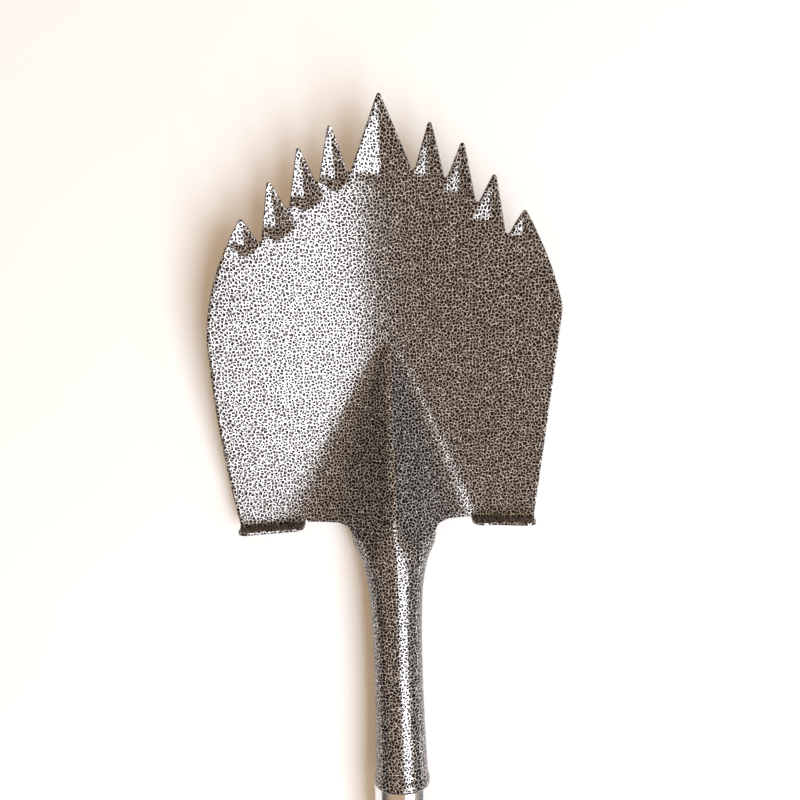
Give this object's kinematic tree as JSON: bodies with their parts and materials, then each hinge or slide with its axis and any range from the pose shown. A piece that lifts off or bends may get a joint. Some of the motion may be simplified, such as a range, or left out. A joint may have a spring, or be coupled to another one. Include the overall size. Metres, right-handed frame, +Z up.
{
  "type": "detecting shovel",
  "caption": "Long-handled digging shovel for metal detecting, with a dished crown-toothed steel head, turned foot steps, tubular shaft and T-handle.",
  "frame": {"origin": "on the ground under the middle of the tool's overall box, with the shovel lying on its back", "axes": "+Y runs along the shaft from the T-handle to the centre tooth, +X runs across the blade to its right side seen from the dish, +Z points up out of the hollow of the blade"},
  "size_m": [0.26, 1, 0.0544],
  "materials": {
    "hammertone_paint": "gloss black and silver hammertone",
    "polished_steel": "mirror polished tube",
    "weld_metal": "rippled bead",
    "rivet_metal": "plain",
    "mandrel_steel": "plain",
    "grip_rubber": "matt moulded",
    "cap_plastic": "satin moulded"
  },
  "bodies": {
    "root": {"digging_head": "hammertone_paint", "shaft_tube": "polished_steel", "shaft_end_plug": "cap_plastic", "shaft_top_cap": "cap_plastic", "socket_rivet_lower_left": "rivet_metal", "socket_rivet_lower_right": "rivet_metal", "socket_rivet_upper_left": "rivet_metal", "socket_rivet_upper_right": "rivet_metal", "rivet_mandrel_lower_left": "mandrel_steel", "rivet_mandrel_lower_right": "mandrel_steel", "rivet_mandrel_upper_left": "mandrel_steel", "rivet_mandrel_upper_right": "mandrel_steel", "crossbar_tube": "polished_steel", "crossbar_weld_left": "weld_metal", "crossbar_weld_right": "weld_metal", "grip_left": "grip_rubber", "grip_right": "grip_rubber", "end_cap_left": "cap_plastic", "end_cap_right": "cap_plastic"}
  },
  "joints": []
}
